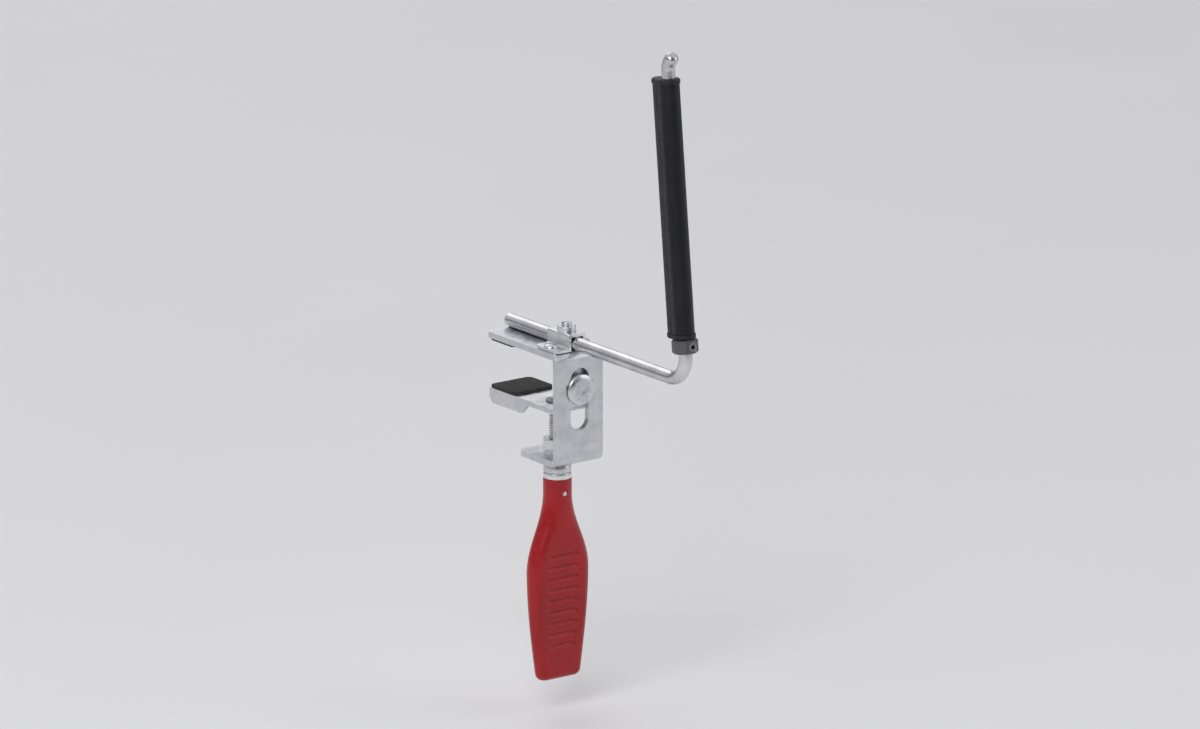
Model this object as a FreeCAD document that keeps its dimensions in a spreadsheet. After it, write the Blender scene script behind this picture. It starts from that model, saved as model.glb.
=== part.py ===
import FreeCAD, Part

import math
import os
import re

import Sketcher
from FreeCAD import Placement, Rotation, Vector

# Table tennis net clamp, in millimetres.
# X runs along the table's edge, Y points in over the table, Z up. The origin is the centre of the upper pad's
# lower face, so the tabletop is the plane Z = 0 and the part hangs on it.

doc = FreeCAD.newDocument("net_clamp")
sheet = doc.addObject("Spreadsheet::Sheet", "Sizes")

SIZES = {
    # The tabletop that the clamp grips
    "table_thick": 22.0,
    # Rubber pads of both jaws
    "pad_thick": 1.5,
    "pad_length": 20.0,
    "pad_width": 24.0,
    "pad_inset": 0.5,
    # Pressed C-shaped frame
    "plate_width": 27.0,
    "plate_thick": 3.0,
    "plate_length": 57.0,
    "frame_drop": 51.0,
    "flange_length": 31.0,
    "bend_inner": 1.5,
    "plate_corner": 3.0,
    "guide_slot_width": 10.5,
    "guide_slot_low": 34.0,
    "guide_slot_high": 3.5,
    # Sliding jaw
    "jaw_thick": 2.5,
    "jaw_width": 23.0,
    "jaw_play": 0.3,
    "jaw_leg": 22.0,
    "jaw_side": 5.0,
    "jaw_side_length": 30.0,
    # Guide stud
    "stud_drop": 14.0,
    "stud_play": 0.1,
    "stud_head": 15.0,
    "stud_head_thick": 2.2,
    "stud_tenon": 6.0,
    "rivet_rise": 1.6,
    # Spindle and its nut
    "spindle_dia": 8.0,
    "spindle_setback": 15.0,
    "spindle_neck": 6.0,
    "running_gap": 0.05,
    "nut_flats": 13.0,
    "nut_high": 6.5,
    "washer_dia": 14.0,
    "washer_thick": 1.2,
    "clip_dia": 11.0,
    "clip_thick": 0.8,
    "clip_groove": 1.0,
    "neck_end": 1.6,
    # Handle
    "handle_top": 54.0,
    "handle_length": 106.0,
    "handle_bore_depth": 40.0,
    "handle_neck_width": 14.0,
    "handle_neck_thick": 13.5,
    "handle_wide": 34.0,
    "handle_end_width": 24.0,
    "handle_end_thick": 8.0,
    "handle_edge": 3.0,
    "grip_groove": 2.6,
    "grip_deep": 0.7,
    "ferrule_wall": 1.1,
    "ferrule_high": 7.0,
    "pin_dia": 3.0,
    "pin_drop": 14.0,
    # Bent rod
    "rod_dia": 6.5,
    "rod_overhang": 141.5,
    "rod_bend": 12.0,
    "rod_lean": 6.0,
    "tip_bend": 6.5,
    "tip_angle": 38.0,
    "tip_straight": 4.5,
    "rod_chamfer": 0.8,
    "rod_tip_chamfer": 1.4,
    # Saddle over the rod
    "saddle_thick": 1.5,
    "saddle_long": 17.0,
    "saddle_setback": 2.0,
    "saddle_play": 0.15,
    "saddle_foot_width": 25.0,
    "saddle_bend": 1.0,
    "rivet_dia": 4.0,
    "rivet_head": 6.4,
    "rivet_head_high": 1.5,
    "rivet_spread": 18.6,
    # Lock screw, nut and slug
    "lock_dia": 5.0,
    "lock_nut_dia": 9.0,
    "lock_nut_high": 2.6,
    "lock_screw_long": 3.6,
    "lock_slug_long": 2.2,
    "lock_gap": 0.05,
    # Post, its ends and its collar
    "post_length": 117.5,
    "post_rod_lobe": 10.0,
    "post_net_lobe": 8.0,
    "post_lobe_pitch": 6.2,
    "post_bore": 7.4,
    "groove_dia": 4.2,
    "groove_mouth": 1.7,
    "flute_dia": 2.4,
    "end_thick": 2.5,
    "end_lip": 0.4,
    "spigot_long": 5.0,
    "spigot_gap": 0.05,
    "collar_dia": 12.5,
    "collar_high": 6.5,
    "collar_rise": 1.2,
    "collar_screw": 4.0,
    "collar_screw_long": 2.9,
    "tip_room": 3.5,
}
for row, (name, size) in enumerate(SIZES.items(), start=1):
    sheet.set("A%d" % row, name)
    sheet.set("B%d" % row, str(size))
    sheet.setAlias("B%d" % row, name)
doc.recompute()

# Places that several pieces share, each written from the sizes above
PLATE_IN = "(pad_length / 2 + pad_inset)"
PLATE_LOW = "pad_thick"
PLATE_TOP = "(pad_thick + plate_thick)"
WEB_OUT = "(%s - plate_length)" % PLATE_IN
WEB_IN = "(%s + plate_thick)" % WEB_OUT
SPINDLE_Y = "(%s + spindle_setback)" % WEB_IN
FLANGE_TOP = "(plate_thick - frame_drop)"
JAW_TOP = "(-table_thick - pad_thick)"
JAW_LOW = "(%s - jaw_thick)" % JAW_TOP
JAW_OUT = "(%s + jaw_play)" % WEB_IN
JAW_LEG_IN = "(%s + jaw_thick)" % JAW_OUT
SHOULDER_Z = "(%s - washer_thick)" % JAW_LOW
CLIP_Z = "(%s + running_gap)" % JAW_TOP
ROD_Z = "(%s + running_gap + rod_dia / 2)" % PLATE_TOP
SLUG_LOW = "(%s + rod_dia / 2 + lock_gap)" % ROD_Z
SCREW_LOW = "(%s + lock_slug_long + lock_gap)" % SLUG_LOW
ROD_CORNER_Y = "(%s - rod_overhang)" % PLATE_IN
SADDLE_OUT = "(%s + saddle_setback)" % WEB_OUT
SADDLE_MID = "(%s + saddle_long / 2)" % SADDLE_OUT
CROWN_LOW = "(%s + rod_dia + saddle_play)" % PLATE_TOP
CROWN_TOP = "(%s + saddle_thick)" % CROWN_LOW
BEND_RUN = "(rod_bend * tan((90 + rod_lean) / 2))"
COLLAR_AT = "(%s + collar_rise)" % BEND_RUN
FOOT_AT = "(%s + collar_high + running_gap)" % COLLAR_AT
POST_AT = "(%s + end_thick)" % FOOT_AT
HEAD_AT = "(%s + post_length)" % POST_AT
TIP_AT = "(%s + end_thick + tip_room)" % HEAD_AT

# Where the handle's forms change, as shares of its length from the top
NECK_SHARE = 0.14
THICK_SHARE = 0.20
BELLY_SHARE = 0.50
HANDLE_SHARES = (0.0, 0.14, 0.20, 0.26, 0.32, 0.38, 0.44, 0.50, 0.58, 0.66, 0.74, 0.82, 0.90)
GRIP_START, GRIP_END, GRIP_COUNT = 0.42, 0.84, 9

NAMES = re.compile(r"\b(%s)\b" % "|".join(sorted(SIZES, key=len, reverse=True)))
PLANES = {"XY": "XY_Plane", "XZ": "XZ_Plane", "YZ": "YZ_Plane"}


def bound(text):
    """The expression with each size taken from the sheet."""
    return NAMES.sub(r"Sizes.\1", text)


def value(text):
    """The expression's present number."""
    return float(sheet.evalExpression(bound(text)))


def new_body(name):
    body = doc.addObject("PartDesign::Body", name)
    body.Label = name
    return body


def new_sketch(body, name, plane, offset="0"):
    """A sketch on one of the body's own origin planes, moved along that plane's normal."""
    sketch = body.newObject("Sketcher::SketchObject", name)
    roles = {item.Role: item for item in body.Origin.OriginFeatures}
    sketch.AttachmentSupport = [(roles[PLANES[plane]], "")]
    sketch.MapMode = "FlatFace"
    sketch.setExpression("AttachmentOffset.Base.z", bound(offset))
    return sketch


def tie(sketch, kind, refs, text):
    """A driving constraint whose number is bound to an expression."""
    index = sketch.addConstraint(Sketcher.Constraint(kind, *refs, value(text)))
    sketch.setExpression("Constraints[%d]" % index, bound(text))


def place_point(sketch, geo, pos, across, up):
    tie(sketch, "DistanceX", (-1, 1, geo, pos), across)
    tie(sketch, "DistanceY", (-1, 1, geo, pos), up)


def draw_polygon(sketch, corners):
    """A closed outline of straight edges; each corner is a pair of expressions."""
    spots = [Vector(value(a), value(b), 0) for a, b in corners]
    lines = []
    for first, second in zip(spots, spots[1:] + spots[:1]):
        lines.append(sketch.addGeometry(Part.LineSegment(first, second), False))
    for line, following in zip(lines, lines[1:] + lines[:1]):
        sketch.addConstraint(Sketcher.Constraint("Coincident", line, 2, following, 1))
    for line, (across, up) in zip(lines, corners):
        place_point(sketch, line, 1, across, up)


def draw_box(sketch, left, right, low, high):
    draw_polygon(sketch, [(left, low), (right, low), (right, high), (left, high)])


def draw_circle(sketch, across, up, diameter):
    spot = Vector(value(across), value(up), 0)
    circle = sketch.addGeometry(Part.Circle(spot, Vector(0, 0, 1), value(diameter) / 2), False)
    place_point(sketch, circle, 3, across, up)
    tie(sketch, "Diameter", (circle,), diameter)


def draw_stadium(sketch, start, end, width):
    """Two half circles joined by straight sides; start and end are their centres."""
    ends = [Vector(value(a), value(b), 0) for a, b in (start, end)]
    along = (ends[1] - ends[0]).normalize()
    side = Vector(-along.y, along.x, 0) * (value(width) / 2)
    turn = math.atan2(side.y, side.x)
    half = value(width) / 2
    up = Vector(0, 0, 1)
    first = Part.ArcOfCircle(Part.Circle(ends[0], up, half), turn, turn + math.pi)
    second = Part.ArcOfCircle(Part.Circle(ends[1], up, half), turn - math.pi, turn)
    arcs = [sketch.addGeometry(first, False), sketch.addGeometry(second, False)]
    low = sketch.addGeometry(Part.LineSegment(ends[0] - side, ends[1] - side), False)
    high = sketch.addGeometry(Part.LineSegment(ends[1] + side, ends[0] + side), False)
    sketch.addConstraint(Sketcher.Constraint("Tangent", arcs[0], 2, low, 1))
    sketch.addConstraint(Sketcher.Constraint("Tangent", low, 2, arcs[1], 1))
    sketch.addConstraint(Sketcher.Constraint("Tangent", arcs[1], 2, high, 1))
    sketch.addConstraint(Sketcher.Constraint("Tangent", high, 2, arcs[0], 1))
    place_point(sketch, arcs[0], 3, *start)
    place_point(sketch, arcs[1], 3, *end)
    tie(sketch, "Radius", (arcs[0],), "(%s) / 2" % width)


def add_pad(body, name, sketch, length, symmetric=False, backwards=False):
    pad = body.newObject("PartDesign::Pad", name)
    pad.Profile = sketch
    pad.setExpression("Length", bound(length))
    pad.SideType = "Symmetric" if symmetric else "One side"
    pad.Reversed = backwards
    doc.recompute()
    return pad


def add_cut(body, name, sketch, length=None, symmetric=False, backwards=False):
    """A pocket, checked to have taken something away."""
    before = body.Shape.Volume
    pocket = body.newObject("PartDesign::Pocket", name)
    pocket.Profile = sketch
    if length is None:
        pocket.Type = "ThroughAll"
    else:
        pocket.setExpression("Length", bound(length))
    pocket.SideType = "Symmetric" if symmetric else "One side"
    pocket.Reversed = backwards
    doc.recompute()
    if body.Shape.Volume > before - 1e-3:
        raise RuntimeError(name + " cuts nothing")
    return pocket


def add_turn(body, name, sketch, axis="V_Axis"):
    turn = body.newObject("PartDesign::Revolution", name)
    turn.Profile = sketch
    turn.ReferenceAxis = (sketch, [axis])
    turn.Angle = 360
    doc.recompute()
    return turn


def edges_where(shape, test):
    return ["Edge%d" % i for i, edge in enumerate(shape.Edges, start=1) if test(edge)]


def add_fillet(body, name, base, radius, test):
    """Rounds the edges of the base feature that pass the test."""
    fillet = body.newObject("PartDesign::Fillet", name)
    fillet.Base = (base, edges_where(base.Shape, test))
    fillet.setExpression("Radius", bound(radius))
    doc.recompute()
    return fillet


def add_chamfer(body, name, base, size, test):
    chamfer = body.newObject("PartDesign::Chamfer", name)
    chamfer.Base = (base, edges_where(base.Shape, test))
    chamfer.setExpression("Size", bound(size))
    doc.recompute()
    return chamfer


def is_straight(edge, direction):
    if not isinstance(edge.Curve, Part.Line):
        return False
    return abs(abs(edge.Curve.Direction.dot(direction)) - 1) < 1e-6


def near(number, text):
    return abs(number - value(text)) < 1e-3


def along_x_at(spots):
    """Tests for an edge along X through one of the given Y, Z places."""
    def test(edge):
        middle = edge.CenterOfMass
        at_spot = any(near(middle.y, y) and near(middle.z, z) for y, z in spots)
        return is_straight(edge, Vector(1, 0, 0)) and at_spot
    return test


def upright_frame(body, distance):
    """Stands a body that was drawn along Z on the rod's leaning part, a distance above the rod's corner."""
    body.Placement = Placement(Vector(0, 0, 0), Rotation(Vector(-1, 0, 0), value("rod_lean")))
    body.setExpression("Placement.Rotation.Angle", bound("rod_lean"))
    body.setExpression("Placement.Base.y", bound("%s + (%s) * sin(rod_lean)" % (ROD_CORNER_Y, distance)))
    body.setExpression("Placement.Base.z", bound("%s + (%s) * cos(rod_lean)" % (ROD_Z, distance)))
    doc.recompute()


# Clamp frame: a strip bent into a C, with the guide slot in its web

def make_clamp_frame():
    body = new_body("clamp_frame")
    side = new_sketch(body, "frame_side", "YZ")
    flange_in = "(%s + flange_length)" % WEB_OUT
    draw_polygon(side, [
        (PLATE_IN, PLATE_LOW), (PLATE_IN, PLATE_TOP), (WEB_OUT, PLATE_TOP), (WEB_OUT, "-frame_drop"),
        (flange_in, "-frame_drop"), (flange_in, FLANGE_TOP), (WEB_IN, FLANGE_TOP), (WEB_IN, PLATE_LOW),
    ])
    strip = add_pad(body, "frame_strip", side, "plate_width", symmetric=True)
    outer = along_x_at([(WEB_OUT, PLATE_TOP), (WEB_OUT, "-frame_drop")])
    bends = add_fillet(body, "frame_outer_bends", strip, "bend_inner + plate_thick", outer)
    inner = along_x_at([(WEB_IN, PLATE_LOW), (WEB_IN, FLANGE_TOP)])
    bends = add_fillet(body, "frame_inner_bends", bends, "bend_inner", inner)

    def is_corner(edge):
        middle = edge.CenterOfMass
        at_end = near(middle.y, PLATE_IN) or near(middle.y, flange_in)
        return is_straight(edge, Vector(0, 0, 1)) and at_end
    add_fillet(body, "frame_corners", bends, "plate_corner", is_corner)
    slot = new_sketch(body, "guide_slot", "XZ", "-(%s)" % WEB_IN)
    low = "(guide_slot_width / 2 - guide_slot_low)"
    high = "(-guide_slot_high - guide_slot_width / 2)"
    draw_stadium(slot, ("0", low), ("0", high), "guide_slot_width")
    add_cut(body, "guide_slot_cut", slot, "plate_thick * 2", symmetric=True)
    hole = new_sketch(body, "spindle_hole", "XY", "-frame_drop")
    draw_circle(hole, "0", SPINDLE_Y, "spindle_dia + running_gap * 2")
    add_cut(body, "spindle_hole_cut", hole, "plate_thick * 2", symmetric=True)
    rivets = new_sketch(body, "rivet_holes", "XY", PLATE_TOP)
    for sign in ("-", ""):
        draw_circle(rivets, "%srivet_spread / 2" % sign, SADDLE_MID, "rivet_dia")
    add_cut(body, "rivet_holes_cut", rivets, "plate_thick * 2", symmetric=True)
    return body


# Rubber pads: a flat block with a rounded outline, the lower one held by the jaw

def make_pad(name, low):
    body = new_body(name)
    outline = new_sketch(body, name + "_outline", "XY", low)
    draw_box(outline, "-pad_width / 2", "pad_width / 2", "-pad_length / 2", "pad_length / 2")
    block = add_pad(body, name + "_block", outline, "pad_thick")
    add_fillet(body, name + "_corners", block, "plate_corner",
               lambda edge: is_straight(edge, Vector(0, 0, 1)))
    return body


# Sliding jaw: a pressed angle with turned-down sides on its arm

def make_sliding_jaw():
    body = new_body("sliding_jaw")
    side = new_sketch(body, "jaw_side", "YZ")
    leg_top = "(%s + jaw_leg)" % JAW_LOW
    draw_polygon(side, [
        (PLATE_IN, JAW_TOP), (JAW_LEG_IN, JAW_TOP), (JAW_LEG_IN, leg_top), (JAW_OUT, leg_top),
        (JAW_OUT, JAW_LOW), (PLATE_IN, JAW_LOW),
    ])
    angle = add_pad(body, "jaw_angle", side, "jaw_width", symmetric=True)
    cheeks = new_sketch(body, "jaw_cheeks", "YZ")
    start = "(%s - jaw_side_length)" % PLATE_IN
    draw_polygon(cheeks, [
        (PLATE_IN, JAW_LOW), ("%s" % start, JAW_LOW), ("%s + jaw_side" % start, "%s - jaw_side" % JAW_LOW),
        ("%s - jaw_side / 2" % PLATE_IN, "%s - jaw_side" % JAW_LOW),
        (PLATE_IN, "%s - jaw_side / 2" % JAW_LOW),
    ])
    solid = add_pad(body, "jaw_channel", cheeks, "jaw_width", symmetric=True)
    inside = new_sketch(body, "jaw_inside", "XZ", "-(%s)" % PLATE_IN)
    half = "(jaw_width / 2 - jaw_thick)"
    draw_box(inside, "-%s" % half, half, "%s - jaw_side * 2" % JAW_LOW, JAW_LOW)
    solid = add_cut(body, "jaw_hollow", inside, "plate_length * 2", symmetric=True)
    outer = along_x_at([(JAW_OUT, JAW_LOW)])
    solid = add_fillet(body, "jaw_outer_bend", solid, "bend_inner + jaw_thick", outer)
    inner = along_x_at([(JAW_LEG_IN, JAW_TOP)])
    add_fillet(body, "jaw_inner_bend", solid, "bend_inner", inner)
    hole = new_sketch(body, "jaw_spindle_hole", "XY", JAW_TOP)
    draw_circle(hole, "0", SPINDLE_Y, "spindle_neck + running_gap * 2")
    add_cut(body, "jaw_spindle_hole_cut", hole, "jaw_thick * 3", symmetric=True)
    tenon = new_sketch(body, "jaw_stud_hole", "XZ", "-(%s)" % JAW_OUT)
    draw_circle(tenon, "0", "-stud_drop", "stud_tenon")
    add_cut(body, "jaw_stud_hole_cut", tenon, "jaw_thick * 3", symmetric=True)
    return body


# Guide stud: one turned piece with its head outside the web and its tenon riveted over the jaw's leg

def make_guide_stud():
    body = new_body("guide_stud")
    half = new_sketch(body, "stud_half", "YZ")
    axis = "-stud_drop"
    shank = "(guide_slot_width / 2 - stud_play)"
    head_in = "(%s - jaw_play)" % WEB_OUT
    draw_polygon(half, [
        ("%s - stud_head_thick" % head_in, axis),
        ("%s - stud_head_thick" % head_in, "%s + stud_head / 2 - stud_head_thick / 2" % axis),
        ("%s - stud_head_thick / 2" % head_in, "%s + stud_head / 2" % axis),
        (head_in, "%s + stud_head / 2" % axis),
        (head_in, "%s + %s" % (axis, shank)),
        (JAW_OUT, "%s + %s" % (axis, shank)),
        (JAW_OUT, "%s + stud_tenon / 2" % axis),
        (JAW_LEG_IN, "%s + stud_tenon / 2" % axis),
        (JAW_LEG_IN, "%s + stud_tenon * 3 / 4" % axis),
        ("%s + rivet_rise" % JAW_LEG_IN, "%s + stud_tenon / 3" % axis),
        ("%s + rivet_rise" % JAW_LEG_IN, axis),
    ])
    line = half.addGeometry(Part.LineSegment(Vector(value(WEB_OUT), value(axis), 0),
                                             Vector(value(WEB_IN), value(axis), 0)), True)
    place_point(half, line, 1, WEB_OUT, axis)
    place_point(half, line, 2, WEB_IN, axis)
    add_turn(body, "stud_turned", half, "Axis0")
    return body


# Spindle: threaded length, shoulder, neck and clip groove, turned about its own axis

def make_spindle():
    body = new_body("spindle")
    half = new_sketch(body, "spindle_half", "XZ", "-(%s)" % SPINDLE_Y)
    low = "(-handle_top - handle_bore_depth + running_gap)"
    groove = "(%s + clip_thick + running_gap)" % CLIP_Z
    draw_polygon(half, [
        ("0", low), ("spindle_dia / 2", low), ("spindle_dia / 2", SHOULDER_Z),
        ("spindle_neck / 2", SHOULDER_Z), ("spindle_neck / 2", CLIP_Z),
        ("spindle_neck / 2 - clip_groove", CLIP_Z), ("spindle_neck / 2 - clip_groove", groove),
        ("spindle_neck / 2", groove), ("spindle_neck / 2", "%s + neck_end" % groove),
        ("0", "%s + neck_end" % groove),
    ])
    shaft = add_turn(body, "spindle_turned", half)
    top = "%s + neck_end" % groove
    shaft = add_chamfer(body, "spindle_ends", shaft, "rod_chamfer",
                        lambda edge: near(edge.CenterOfMass.z, top) or near(edge.CenterOfMass.z, low))
    cross = new_sketch(body, "spindle_pin_hole", "XZ", "-(%s)" % SPINDLE_Y)
    draw_circle(cross, "0", "-handle_top - pin_drop", "pin_dia")
    add_cut(body, "spindle_pin_hole_cut", cross, "spindle_dia * 2", symmetric=True)
    return body


def make_ring(name, low, thick, outer, inner, centre_y):
    """A flat ring about an upright axis."""
    body = new_body(name)
    flat = new_sketch(body, name + "_flat", "XY", low)
    draw_circle(flat, "0", centre_y, outer)
    draw_circle(flat, "0", centre_y, inner)
    return body, add_pad(body, name + "_ring", flat, thick)


def make_spindle_washer():
    body, _ = make_ring("spindle_washer", SHOULDER_Z, "washer_thick - running_gap", "washer_dia",
                        "spindle_neck + running_gap * 2", SPINDLE_Y)
    return body


# Retaining clip: an open ring with a mouth and two ears, sprung into the spindle's groove

def make_spindle_clip():
    bore = "spindle_neck - clip_groove * 2 + running_gap * 2"
    body, _ = make_ring("spindle_clip", CLIP_Z, "clip_thick", "clip_dia", bore, SPINDLE_Y)
    mouth = new_sketch(body, "clip_mouth", "XY", CLIP_Z)
    half = "(spindle_neck / 2 - clip_groove)"
    draw_box(mouth, "-%s" % half, half, "%s - clip_dia" % SPINDLE_Y, SPINDLE_Y)
    add_cut(body, "clip_mouth_cut", mouth, "clip_thick * 3", symmetric=True)
    return body


# Weld nut on the lower flange: a hexagon with rounded crown and its thread's bore

def make_spindle_nut():
    body = new_body("spindle_nut")
    corner = "(nut_flats / 2 / cos(30))"
    plan = new_sketch(body, "nut_plan", "XY", FLANGE_TOP)
    points = []
    for turn in range(0, 360, 60):
        points.append(("%s * cos(%d)" % (corner, turn), "%s + %s * sin(%d)" % (SPINDLE_Y, corner, turn)))
    draw_polygon(plan, points)
    block = add_pad(body, "nut_block", plan, "nut_high")
    bore = new_sketch(body, "nut_bore", "XY", FLANGE_TOP)
    draw_circle(bore, "0", SPINDLE_Y, "spindle_dia + running_gap * 2")
    add_cut(body, "nut_bore_cut", bore, "nut_high * 3", symmetric=True)
    crown = new_sketch(body, "nut_crown", "XZ", "-(%s)" % SPINDLE_Y)
    top = "(%s + nut_high)" % FLANGE_TOP
    draw_polygon(crown, [
        ("nut_flats / 2", top), ("nut_flats", top), ("nut_flats", "%s - nut_flats / 4" % top),
    ])
    groove = body.newObject("PartDesign::Groove", "nut_crown_cut")
    groove.Profile = crown
    groove.ReferenceAxis = (crown, ["V_Axis"])
    groove.Angle = 360
    doc.recompute()
    return body


# Handle: a paddle lofted through stadium sections, with finger grooves on both faces and a bore for the spindle

def handle_width(down):
    """The handle's width at a share of its length: straight neck, belly at half length, narrower end."""
    if down <= NECK_SHARE:
        return "handle_neck_width"
    if down <= BELLY_SHARE:
        turn = 180 * (down - NECK_SHARE) / (BELLY_SHARE - NECK_SHARE)
        return "(handle_wide + (handle_neck_width - handle_wide) * (1 + cos(%.2f)) / 2)" % turn
    turn = 90 * (down - BELLY_SHARE) / (1 - BELLY_SHARE)
    return "(handle_end_width + (handle_wide - handle_end_width) * cos(%.2f))" % turn


def handle_thick(down):
    """The handle's thickness at a share of its length."""
    turn = 90 * max(0.0, down - THICK_SHARE) / (1 - THICK_SHARE)
    return "(handle_neck_thick - (handle_neck_thick - handle_end_thick) * sin(%.2f))" % turn


def handle_section(body, number, down, width, thick):
    flat = new_sketch(body, "handle_section_%d" % number, "XY", "-handle_top - (%s)" % down)
    reach = "((%s - %s) / 2)" % (width, thick)
    draw_stadium(flat, ("-" + reach, SPINDLE_Y), (reach, SPINDLE_Y), thick)
    return flat


def make_handle():
    body = new_body("handle")
    sections = []
    for share in HANDLE_SHARES:
        sections.append(handle_section(body, len(sections), "handle_length * %.3f" % share,
                                       handle_width(share), handle_thick(share)))
    for turn in (0, 30, 60, 90):
        down = "handle_length - handle_edge * (1 - sin(%d))" % turn
        shrink = "handle_edge * 2 * (1 - cos(%d))" % turn
        sections.append(handle_section(body, len(sections), down, "(handle_end_width - %s)" % shrink,
                                       "(handle_end_thick - %s)" % shrink))
    loft = body.newObject("PartDesign::AdditiveLoft", "handle_paddle")
    loft.Profile = sections[0]
    loft.Sections = sections[1:]
    loft.Ruled = True
    doc.recompute()
    for number in range(GRIP_COUNT):
        share = GRIP_START + number * (GRIP_END - GRIP_START) / (GRIP_COUNT - 1)
        drop = "(-handle_top - handle_length * %.4f)" % share
        reach = "(%s * 0.27)" % handle_width(share)
        face = "(%s / 2 - grip_deep)" % handle_thick(share)
        for side, sign in (("front", "-"), ("back", "")):
            name = "grip_%s_%d" % (side, number)
            groove = new_sketch(body, name, "XZ", "-(%s) - (%s%s)" % (SPINDLE_Y, sign, face))
            draw_box(groove, "-" + reach, reach, drop + " - grip_groove / 2", drop + " + grip_groove / 2")
            add_cut(body, name + "_cut", groove, "handle_neck_thick", backwards=sign == "")
    bore = new_sketch(body, "handle_bore", "XY", "-handle_top")
    draw_circle(bore, "0", SPINDLE_Y, "spindle_dia + running_gap * 2")
    add_cut(body, "handle_bore_cut", bore, "handle_bore_depth")
    step = new_sketch(body, "handle_ferrule_seat", "XY", "-handle_top")
    draw_circle(step, "0", SPINDLE_Y, "handle_neck_width * 3")
    draw_circle(step, "0", SPINDLE_Y, "handle_neck_thick - ferrule_wall * 2 - running_gap * 2")
    add_cut(body, "handle_ferrule_seat_cut", step, "ferrule_high + running_gap")
    cross = new_sketch(body, "handle_pin_hole", "XZ", "-(%s)" % SPINDLE_Y)
    draw_circle(cross, "0", "-handle_top - pin_drop", "pin_dia")
    add_cut(body, "handle_pin_hole_cut", cross, "handle_neck_thick * 3", symmetric=True)
    return body


def make_handle_collar():
    inner = "handle_neck_thick - ferrule_wall * 2"
    body, ring = make_ring("handle_collar", "-handle_top - ferrule_high", "ferrule_high",
                           "handle_neck_thick", inner, SPINDLE_Y)

    def is_rim(edge):
        return near(edge.CenterOfMass.z, "-handle_top") and edge.Length > value("handle_neck_thick") * 3
    add_chamfer(body, "handle_collar_rim", ring, "ferrule_wall / 3", is_rim)
    return body


def make_handle_pin():
    body = new_body("handle_pin")
    flat = new_sketch(body, "pin_flat", "XZ", "-(%s)" % SPINDLE_Y)
    draw_circle(flat, "0", "-handle_top - pin_drop", "pin_dia - running_gap / 2")
    pin = add_pad(body, "pin_rod", flat, "handle_neck_thick - 1", symmetric=True)
    add_chamfer(body, "pin_ends", pin, "pin_dia / 8", lambda edge: not is_straight(edge, Vector(0, 1, 0)))
    return body


# Rod: one round bar swept along its bent line

def make_net_rod():
    body = new_body("net_rod")
    lean = math.radians(value("rod_lean"))
    up = Vector(math.sin(lean), math.cos(lean), 0)
    corner = Vector(value(ROD_CORNER_Y), value(ROD_Z), 0)
    bend = value("rod_bend")
    run = value(BEND_RUN)
    inner = Vector(value(PLATE_IN), value(ROD_Z), 0)
    first_end = corner + Vector(run, 0, 0)
    second_start = corner + up * run
    second_end = corner + up * value(TIP_AT)
    tip_turn = math.radians(value("tip_angle + rod_lean"))
    inward = Vector(up.y, -up.x, 0)
    small = value("tip_bend")
    tip_centre = second_end - inward * small
    tip_way = up * math.cos(tip_turn) - inward * math.sin(tip_turn)
    third_start = tip_centre + inward * (small * math.cos(tip_turn)) + up * (small * math.sin(tip_turn))
    third_end = third_start + tip_way * value("tip_straight")
    bend_centre = first_end + Vector(0, bend, 0)
    path = new_sketch(body, "rod_line", "YZ")
    level = path.addGeometry(Part.LineSegment(inner, first_end), False)
    axis = Vector(0, 0, 1)
    from_angle = math.atan2((second_start - bend_centre).y, (second_start - bend_centre).x)
    arc = path.addGeometry(Part.ArcOfCircle(Part.Circle(bend_centre, axis, bend),
                                            from_angle, math.radians(270) - 2 * math.pi), False)
    upright = path.addGeometry(Part.LineSegment(second_start, second_end), False)
    start = math.atan2((second_end - tip_centre).y, (second_end - tip_centre).x)
    stop = math.atan2((third_start - tip_centre).y, (third_start - tip_centre).x)
    small_arc = path.addGeometry(Part.ArcOfCircle(Part.Circle(tip_centre, axis, small), start, stop), False)
    tip = path.addGeometry(Part.LineSegment(third_start, third_end), False)
    place_point(path, level, 1, PLATE_IN, ROD_Z)
    path.addConstraint(Sketcher.Constraint("Horizontal", level))
    path.addConstraint(Sketcher.Constraint("Tangent", level, 2, arc, 2))
    path.addConstraint(Sketcher.Constraint("Tangent", arc, 1, upright, 1))
    path.addConstraint(Sketcher.Constraint("Tangent", upright, 2, small_arc, 1))
    path.addConstraint(Sketcher.Constraint("Tangent", small_arc, 2, tip, 1))
    tie(path, "Radius", (arc,), "rod_bend")
    tie(path, "Radius", (small_arc,), "tip_bend")
    tie(path, "DistanceX", (-1, 1, level, 2), "%s + %s" % (ROD_CORNER_Y, BEND_RUN))
    tie(path, "Angle", (upright,), "90 - rod_lean")
    tie(path, "Distance", (upright, 1, upright, 2), "%s - %s" % (TIP_AT, BEND_RUN))
    tie(path, "Angle", (tip,), "90 + tip_angle")
    tie(path, "Distance", (tip, 1, tip, 2), "tip_straight")
    face = new_sketch(body, "rod_section", "XZ", "-(%s)" % PLATE_IN)
    draw_circle(face, "0", ROD_Z, "rod_dia")
    bar = body.newObject("PartDesign::AdditivePipe", "rod_bar")
    bar.Profile = face
    bar.Spine = (path, [])
    doc.recompute()

    tip_end = Vector(0, third_end.x, third_end.y)
    add_chamfer(body, "rod_tip_end", bar, "rod_tip_chamfer",
                lambda edge: (edge.CenterOfMass - tip_end).Length < 0.05)
    inner_end = Vector(0, inner.x, inner.y)
    add_chamfer(body, "rod_inner_end", body.Tip, "rod_chamfer",
                lambda edge: (edge.CenterOfMass - inner_end).Length < 0.05)
    return body


# Saddle: a strap pressed over the rod, with a foot on each side

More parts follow.
